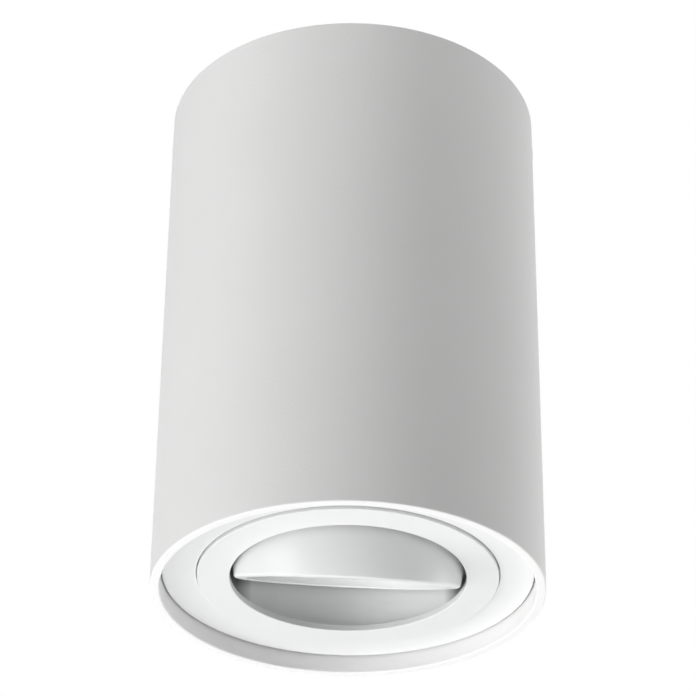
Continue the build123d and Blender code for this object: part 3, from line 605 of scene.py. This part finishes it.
def screws(name, slot, body, head, cutters, core, crest, thread, pitch, length, places):
    """One piece of equal screws, which stands for the node of the same name."""
    body_shell = carved(head + shank(core, head[-1][1], -length), cutters)
    winding = ridge(core, crest, thread[0], thread[1], pitch)
    piece = Piece()
    for place in places:
        piece.add(body_shell, place).add(winding, place)
    return piece.finish(name + "_cut", slot, body, [name], 32)


two_sides = (1, -1)

screws("side_screws", "white_screws", "housing",
       [(0.0, 0.0), (2.6, 0.0), (3.55, -0.05), (3.7, -0.2), (2.05, -1.75), (1.75, -1.9)],
       [cross_recess(2.1, 0.0, 1.25)], 1.62, 2.0, (-6.5, -2.2), 0.7, 7.0,
       [facing((HOUSING_R * side, 0, SIDE_SCREW_Z), (side, 0, 0)) for side in two_sides])

clip_angles = [math.radians(90 + 120 * i) for i in range(3)]
screws("clip_screws", "screw_steel", "housing", pan_head(2.6, 1.7), [cross_recess(1.35, 1.7, 1.05)],
       1.0, 1.25, (-2.8, -0.5), 0.45, 3.1,
       [Matrix.Translation((CLIP_CIRCLE_R * math.cos(a), CLIP_CIRCLE_R * math.sin(a), CLIP_HEAD_Z))
        for a in clip_angles])

screws("terminal_fixing_screws", "screw_steel", "housing", pan_head(2.8, 1.8), [cross_recess(1.5, 1.8, 1.1)],
       1.2, 1.5, (-9.0, -3.0), 0.5, 9.3,
       [facing((0.5 * POLE_PITCH * side, BLOCK_Y, -9.5), (0, 0, -1), (1, 0.4 * side, 0))
        for side in two_sides])

screws("earth_screw", "brass", "housing", pan_head(3.8, 2.4), [cross_recess(2.0, 2.4, 1.4)],
       1.62, 2.0, (-1.9, -0.5), 0.7, 2.1, [facing((EARTH_X, EARTH_Y, -2.3), (0, 0, -1), (1, 0.6, 0))])

screws("stop_screw", "screw_steel", "ring", pan_head(2.4, 3.8), [cross_recess(1.3, 3.8, 1.2)],
       1.0, 1.25, (-1.6, -0.4), 0.45, 1.9, [RING_PLACE @ facing((0, 33.0, 7.1), (0, 1, 0))])

screws("strap_screws", "screw_steel", "eyeball", pan_head(2.6, 1.7), [cross_recess(1.35, 1.7, 1.05)],
       1.18, 1.45, (-3.3, -1.3), 0.5, 3.6,
       [CUP_PLACE @ facing((23.007 * side, 0, 22.0), (side, 0, 0)) for side in two_sides])

screws("holder_screws", "screw_steel", "eyeball", pan_head(2.6, 1.7), [cross_recess(1.35, 1.7, 1.05)],
       1.18, 1.45, (-6.3, -1.3), 0.5, 6.6,
       [CUP_PLACE @ facing((9.9 * side, 0, 62.35), (0, 0, 1), (1, 0.5, 0)) for side in two_sides])

pivot_head = [(0.0, 1.8), (2.05, 1.8), (2.3, 1.72), (2.4, 1.55), (2.4, 0.0), (1.95, 0.0), (1.95, -3.5),
              (1.8, -3.65), (1.2, -3.65)]
hexagon = prism(polygon(1.2, 6), polygon(1.28, 6), 0.7, 1.95)
pivot_body = carved(pivot_head + [(1.2, -5.6), (1.0, -5.85), (0.0, -5.85)], [hexagon])
pivot_thread = ridge(1.2, 1.5, -5.5, -3.95, 0.5)
pivots = Piece()
for side in two_sides:
    place = CUP_PLACE @ facing((32.25 * side, 0, 0), (side, 0, 0))
    pivots.add(pivot_body, place).add(pivot_thread, place)
pivots.finish("pivot_screws_cut", "screw_steel", "eyeball", ["pivot_screws"], 32)

slot_cutter = prism([(-2, -0.25), (2, -0.25), (2, 0.25), (-2, 0.25)],
                    [(-2, -0.28), (2, -0.28), (2, 0.28), (-2, 0.28)], 5.15, 6.2)
grub_body = carved([(0.0, 6.0), (0.95, 6.0), (1.2, 5.75), (1.2, 0.3), (0.9, 0.0), (0.0, 0.0)], [slot_cutter])
grub_thread = ridge(1.2, 1.5, 0.35, 5.5, 0.5)
grubs = Piece()
for pole in (-1, 0, 1):
    for row in two_sides:
        turn = Matrix.Rotation(0.7 * pole + 0.4 * row, 4, "Z")
        place = facing((POLE_PITCH * pole, BLOCK_Y + 5.1 * row, -6.55), (0, 0, -1), (1, 0, 0)) @ turn
        grubs.add(grub_body, place).add(grub_thread, place)
grubs.finish("terminal_clamp_screws_cut", "screw_steel", "housing", ["terminal_clamp_screws"], 32)

# ---- leads --------------------------------------------------------------------------------
LEAD_R = 1.0
SLEEVE_TOP, SLEEVE_END = -37.0, -47.0
SLEEVE_MIDDLE = (SLEEVE_TOP + SLEEVE_END) / 2
HOLDER_TOP = 61.35


def on_axis(side, height):
    """A point of the lead on one side of the tube's axis, at a height below the ceiling."""
    return RING_PLACE @ Vector((1.05 * side, 0, height - RING_Z))


def above_holder(side, height):
    """A point of the lead on one side of the lampholder, at a height over its back."""
    return CUP_PLACE @ Vector((1.6 * side, 0, HOLDER_TOP + height))


upper = Piece()
lower = Piece()
strands = Piece()
for side in two_sides:
    to_sleeve = [(POLE_PITCH * side, -11.5, -5.5), (POLE_PITCH * side, -25.5, -7.0),
                 (5.7 * side, -25.5, -22.5), on_axis(side, -31.0), on_axis(side, SLEEVE_MIDDLE)]
    to_holder = [on_axis(side, SLEEVE_MIDDLE), on_axis(side, -51.5), above_holder(side, 12.0),
                 above_holder(side, -2.5)]
    upper.add(sweep(smooth_line(to_sleeve), LEAD_R)[0])
    lower.add(sweep(smooth_line(to_holder), LEAD_R)[0])
upper_leads = upper.finish("upper_leads_drawn", "lead_silicone", replaces=["upper_leads"])
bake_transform(upper_leads)
lower_leads = lower.finish("lower_leads_drawn", "lead_silicone", replaces=["lower_leads"])
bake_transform(lower_leads)

# Bare strands under the clamp screws: one straight and six wound round it.
for pole in (-POLE_PITCH, 0.0, POLE_PITCH):
    stub = [(pole, -11.6 + 0.4 * step, -5.5) for step in range(15)]
    strands.add(sweep(stub, 0.3, 8)[0])
    for wire in range(6):
        strands.add(sweep(stub, 0.3, 8, twist=0.5, offset=0.61, start_angle=wire * math.pi / 3)[0])
strands.finish("lead_strands", "tinned_brass", "housing")

earth_route = [(0, -11.5, -5.5), (0, -24.5, -5.5), (-15, -34, -4.35), (EARTH_X, -30, -3.2),
               (EARTH_X, -18.9, -3.2)]
shell, around = sweep(smooth_line(earth_route, 14), LEAD_R, 24)
Piece().add(shell, around=around).finish("earth_lead_drawn", "earth_insulation", "housing", ["earth_lead"])


def braid(bore, base, lift, low, high, strands=12, columns=96, rows=72):
    """Tube of two sets of yarns that pass over and under each other. Also gives each point's height in the
    weave, which the finish turns into painted shade in the dips.
    """
    points, over = [], []
    wind = strands / (2 * math.pi * (base + lift))

    def ring(height, radius):
        for column in range(columns):
            angle = 2 * math.pi * column / columns
            points.append((radius * math.cos(angle), radius * math.sin(angle), height))
            over.append(0.3)

    ring(low, bore)
    for row in range(rows + 1):
        height = low + (high - low) * row / rows
        for column in range(columns):
            turn = strands * column / columns
            left, right = turn + wind * height, turn - wind * height
            ridges = [math.sin(math.pi * (place % 1.0)) for place in (left, right)]
            if (math.floor(left) + math.floor(right)) % 2:
                ridges.reverse()
            rise = max(math.sqrt(ridges[0]) * (0.5 + 0.5 * ridges[1]), 0.45 * math.sqrt(ridges[1]))
            angle = 2 * math.pi * column / columns
            radius = base + lift * rise
            points.append((radius * math.cos(angle), radius * math.sin(angle), height))
            # Height in the weave, which the braid's finish turns into painted shade in the dips.
            over.append(0.2 + 0.7 * rise)
    ring(high, bore)
    total = rows + 3
    faces = []
    for row in range(total):
        for column in range(columns):
            after = (column + 1) % columns
            here, there = row * columns, (row + 1) % total * columns
            faces.append([here + column, here + after, there + after, there + column])
    return (points, faces), over


shell, over = braid(2.1, 2.6, 0.3, SLEEVE_END, SLEEVE_TOP)
Piece().add(shell, strand=over).finish("lead_sleeve_braided", "sleeve_braid", "ring", ["lead_sleeve"], 60)

# ---- lamp ---------------------------------------------------------------------------------
LENS_FRONT, LENS_BACK = -3.65, -2.05
WELL_R, WELL_TOP = 9.5, 24.85
NECK = 27.85
LENS_EDGE_R = 24.2


def bow(first, middle, last, steps):
    """Points of a smooth arch through three points, without the first."""
    steer = [2 * m - (a + b) / 2 for a, m, b in zip(first, middle, last)]
    made = []
    for step in range(1, steps + 1):
        t = step / steps
        made.append(tuple((1 - t) ** 2 * a + 2 * t * (1 - t) * s + t * t * b
                          for a, s, b in zip(first, steer, last)))
    return made


shell_outline = [(0.0, NECK), (12.1, NECK), (12.5, NECK - 0.3)]
shell_outline += bow((12.5, NECK - 0.3), (19.1, 14.0), (23.4, 1.5), 14)
shell_outline += [(23.6, -0.05), (24.8, -0.05), (25.0, -0.3), (25.0, -3.4), (24.8, LENS_FRONT),
                  (24.25, LENS_FRONT), (24.25, LENS_BACK), (22.9, LENS_BACK)]
shell_outline += bow((22.9, LENS_BACK), (17.9, 12.6), (10.8, 25.9), 10)
shell_outline += [(0.0, 25.9)]
Piece().add(revolve(shell_outline, 96), CUP_PLACE).finish("lamp_shell_pressed", "lamp_shell", "eyeball",
                                                         ["lamp_body"], 35)

# The reflector's flat facets: straight runs of the outline, turned in a few steps.
mirror_outline = [(0.0, WELL_TOP), (WELL_R, WELL_TOP)]
mirror_outline += bow((WELL_R, WELL_TOP), (16.9, 11.4), (22.5, LENS_BACK), 9)
mirror_outline += [(22.8, LENS_BACK)]
mirror_outline += bow((22.8, LENS_BACK), (17.3, 11.8), (10.0, 25.3), 9)
mirror_outline += [(0.0, 25.3)]
Piece().add(revolve(mirror_outline, 40), CUP_PLACE).finish("lamp_reflector", "lamp_shell", "eyeball", sharp=2)


def pressed_lens(edge_r, front, back, cell=2.6, relief=0.4, segments=72):
    """Disc with a plain front and a back pressed into a honeycomb of low domes."""
    low = back - relief
    spots = []
    for step in range(segments):
        angle = 2 * math.pi * step / segments
        spots.append((edge_r * math.cos(angle), edge_r * math.sin(angle), low))
    rim = [(i, (i + 1) % segments) for i in range(segments)]
    reach = int(edge_r / cell) + 2
    seen = set()
    for row in range(-reach, reach + 1):
        for column in range(-reach, reach + 1):
            middle = (cell * (column + 0.5 * (row % 2)), cell * row * math.sqrt(3) / 2)
            corners = [(middle[0] + cell / math.sqrt(3) * math.cos(math.radians(30 + 60 * i)),
                        middle[1] + cell / math.sqrt(3) * math.sin(math.radians(30 + 60 * i)))
                       for i in range(6)]
            for spot, height in [(middle, back)] + [(corner, low) for corner in corners]:
                key = (round(spot[0], 3), round(spot[1], 3))
                if key not in seen and math.hypot(*spot) < edge_r - 1.2:
                    seen.add(key)
                    spots.append((*spot, height))
    found = delaunay_2d_cdt([Vector(s[:2]) for s in spots], rim, [], 1, 1e-5)
    faces = [list(face) for face in found[2]]
    points = list(spots)
    for radius, height in ((edge_r, front + 0.4), (edge_r - 0.4, front)):
        start = len(points)
        for step in range(segments):
            angle = 2 * math.pi * step / segments
            points.append((radius * math.cos(angle), radius * math.sin(angle), height))
        above = start - segments if radius < edge_r else 0
        faces += [[above + a, above + b, start + b, start + a] for a, b in rim]
    faces.append(list(range(len(points) - segments, len(points))))
    return points, faces


Piece().add(pressed_lens(LENS_EDGE_R, LENS_FRONT, LENS_BACK), CUP_PLACE).finish(
    "lamp_lens_pressed", "lamp_glass", "eyeball", ["lamp_lens"], 26)

capsule = [(0.0, 8.8)] + arc((1.2, 12.2), 3.4, -90, 0)[1:]
capsule += [(4.6, 20.4), (4.3, 21.6), (3.3, 22.6), (3.2, 24.8)]
capsule += [(2.6, 24.8), (2.7, 22.4), (3.6, 21.2), (3.9, 20.2)] + arc((1.2, 12.3), 2.7, 0, -90) + [(0.0, 9.6)]
Piece().add(revolve(capsule, 40), CUP_PLACE).finish("lamp_capsule_blown", "lamp_glass", "eyeball",
                                                   ["lamp_capsule"], 40)

filament = Piece()
coil = [(-2.2 + 4.4 * step / 160, 0.55 * math.sin(2 * math.pi * step / 16),
         14 + 0.55 * math.cos(2 * math.pi * step / 16)) for step in range(161)]
filament.add(sweep(coil, 0.09, 6)[0], CUP_PLACE)
for side in two_sides:
    post = smooth_line([(2.2 * side, 0, 14.4), (2.3 * side, 0, 19.0), (1.5 * side, 0, 21.0),
                        (1.5 * side, 0, 24.8)], 6)
    filament.add(sweep(post, 0.2, 10)[0], CUP_PLACE)
filament.finish("lamp_filament", "pin_metal", "eyeball", sharp=50)

# ---- camera -------------------------------------------------------------------------------
# The view was fitted to the tube's outline and rim in the photograph. Metres and radians.
RIM = Vector((0, 0, -0.140))
TUBE_R = MM * HOUSING_R
CAMERA_OUT, CAMERA_BELOW = 12.135, 5.9359      # from the rim, in tube radii
camera_data = bpy.data.cameras.new("camera")
camera = bpy.data.objects.new("camera", camera_data)
bpy.context.scene.collection.objects.link(camera)
bpy.context.scene.camera = camera
camera_data.sensor_width = 36.0
camera_data.lens = 137.86
pitch, yaw, roll = 0.5471, -0.0011, 0.0113
forward = Vector((math.sin(yaw) * math.cos(pitch), math.cos(yaw) * math.cos(pitch), math.sin(pitch)))
right = forward.cross(Vector((0, 0, 1))).normalized()
up = right.cross(forward)
right, up = (math.cos(roll) * right + math.sin(roll) * up, math.cos(roll) * up - math.sin(roll) * right)
camera.matrix_world = Matrix((
    (right.x, up.x, -forward.x, 0.0),
    (right.y, up.y, -forward.y, -CAMERA_OUT * TUBE_R),
    (right.z, up.z, -forward.z, RIM.z - CAMERA_BELOW * TUBE_R),
    (0, 0, 0, 1),
))
camera_data.clip_start = 0.01
camera_data.clip_end = 20.0

# ---- light and surroundings ---------------------------------------------------------------
world = bpy.data.worlds.new("studio")
bpy.context.scene.world = world
world.use_nodes = True
tree = world.node_tree
tree.nodes.clear()
rays = tree.nodes.new("ShaderNodeLightPath")
plain_light = tree.nodes.new("ShaderNodeBackground")
plain_light.inputs["Strength"].default_value = 0.05
white = tree.nodes.new("ShaderNodeBackground")
white.inputs["Color"].default_value = (1, 1, 1, 1)
white.inputs["Strength"].default_value = 1.0
seen = tree.nodes.new("ShaderNodeMath")
seen.operation = "MAXIMUM"
seen_either = tree.nodes.new("ShaderNodeMath")
seen_either.operation = "MAXIMUM"
pick = tree.nodes.new("ShaderNodeMixShader")
end = tree.nodes.new("ShaderNodeOutputWorld")
tree.links.new(rays.outputs["Is Camera Ray"], seen.inputs[0])
tree.links.new(rays.outputs["Is Glossy Ray"], seen.inputs[1])
tree.links.new(seen.outputs[0], seen_either.inputs[0])
tree.links.new(rays.outputs["Is Transmission Ray"], seen_either.inputs[1])
tree.links.new(seen_either.outputs[0], pick.inputs["Fac"])
tree.links.new(plain_light.outputs[0], pick.inputs[1])
tree.links.new(white.outputs[0], pick.inputs[2])
tree.links.new(pick.outputs[0], end.inputs["Surface"])


def area_light(name, place, target, size, power):
    """Square soft lamp that faces its target. Metres and watts."""
    data = bpy.data.lights.new(name, "AREA")
    data.shape = "SQUARE"
    data.size = size
    data.energy = power
    lamp = bpy.data.objects.new(name, data)
    bpy.context.scene.collection.objects.link(lamp)
    lamp.location = place
    lamp.rotation_mode = "QUATERNION"
    lamp.rotation_quaternion = (Vector(target) - Vector(place)).to_track_quat("-Z", "Y")


# The powers were chosen so that the object's tones come near the photograph's.
middle = Vector((0, 0, -0.08))
area_light("below", (0.0, -0.1, -1.45), middle, 1.2, 12.6)
area_light("left_side", (-1.5, -0.5, -0.55), middle, 0.8, 7.0)
area_light("left_low", (-1.2, -0.3, -1.1), middle, 1.0, 10.0)
area_light("left_high", (-1.3, -0.5, 0.9), middle, 1.0, 3.8)
area_light("right_high", (1.2, -0.3, 1.0), middle, 1.0, 4.6)
area_light("right_back", (1.3, 0.9, -0.1), middle, 1.0, 12.0)
area_light("front_high", (0.0, -0.7, 0.6), middle, 0.5, 3.1)

floor_mesh = bpy.data.meshes.new("floor")
work = bmesh.new()
bmesh.ops.create_grid(work, x_segments=1, y_segments=1, size=6.0)
work.to_mesh(floor_mesh)
work.free()
floor = bpy.data.objects.new("floor", floor_mesh)
bpy.context.scene.collection.objects.link(floor)
floor.location = (0, 0, -1.6)
floor_paint = Paint("floor")
floor_tone = floor_paint.mix(floor_paint.noise(3.0), (0.84, 0.84, 0.84), (0.86, 0.86, 0.86))
floor_paint.link(floor_tone, "Base Color").link(floor_tone, "Emission Color").set(Roughness=0.9)
light_path = floor_paint.node("ShaderNodeLightPath").outputs
seen_floor = floor_paint.maths("MAXIMUM", light_path["Is Camera Ray"], light_path["Is Glossy Ray"])
seen_floor = floor_paint.maths("MAXIMUM", seen_floor, light_path["Is Transmission Ray"])
floor_paint.link(floor_paint.maths("MULTIPLY", seen_floor, 0.7), "Emission Strength")
floor_mesh.materials.append(floor_paint.material)

bpy.context.scene.view_settings.view_transform = "Standard"
